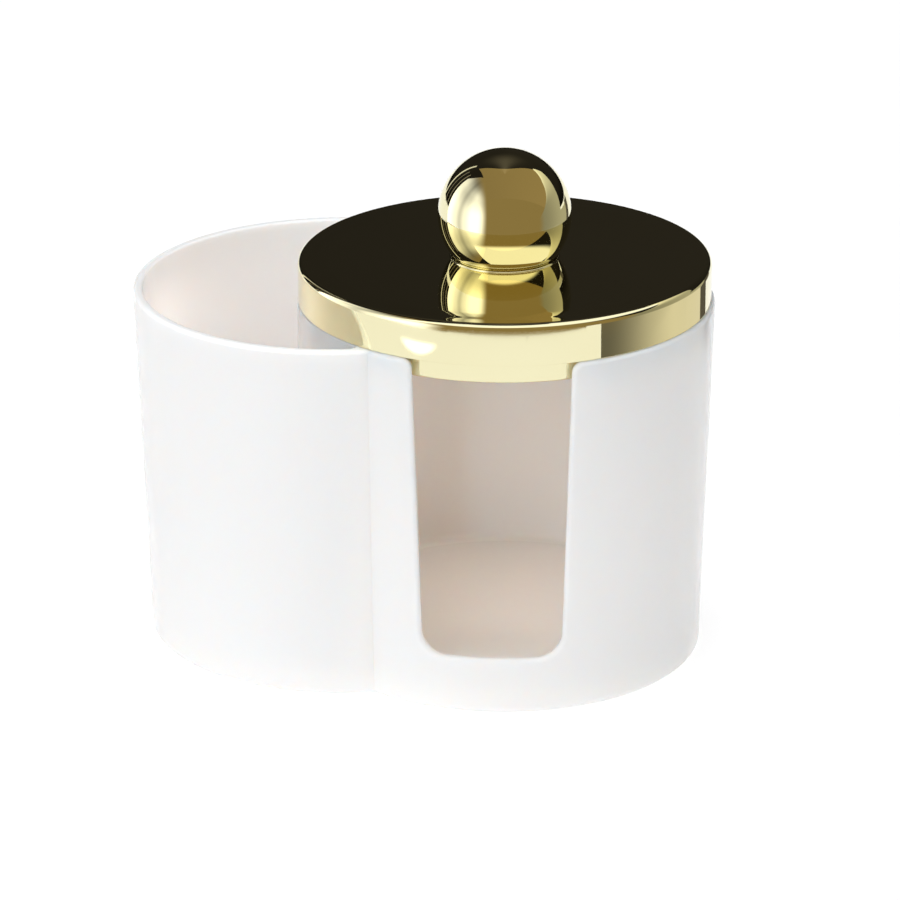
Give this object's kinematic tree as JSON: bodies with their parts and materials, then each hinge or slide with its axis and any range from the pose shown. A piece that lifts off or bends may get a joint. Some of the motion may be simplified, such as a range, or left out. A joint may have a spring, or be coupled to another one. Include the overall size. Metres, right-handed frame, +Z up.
{
  "type": "cotton pad and swab box",
  "caption": "White twin-lobe vanity box: round lidded compartment for cotton pads with a front slot, open crescent compartment for swabs, gold plated lid with ball knob.",
  "frame": {"origin": "middle of the footprint's bounding box, on the table", "axes": "+Z up, +X along the long side towards the lidded round compartment, -Y towards the front with the slot"},
  "size_m": [0.095, 0.0676, 0.0835],
  "materials": {
    "white_plastic": "glossy injection-moulded",
    "gold_plating": "gold electroplated plastic, mirror polish",
    "zinc_steel": "zinc plated steel"
  },
  "bodies": {
    "container": {"container": "white_plastic"},
    "lid": {"lid": "gold_plating", "knob": "gold_plating", "knob_screw": "zinc_steel"}
  },
  "joints": [
    {"name": "lid_lift", "type": "slide", "parent": "container", "child": "lid", "axis": [0, 0, 1], "range_m": [0, 0.06]}
  ]
}
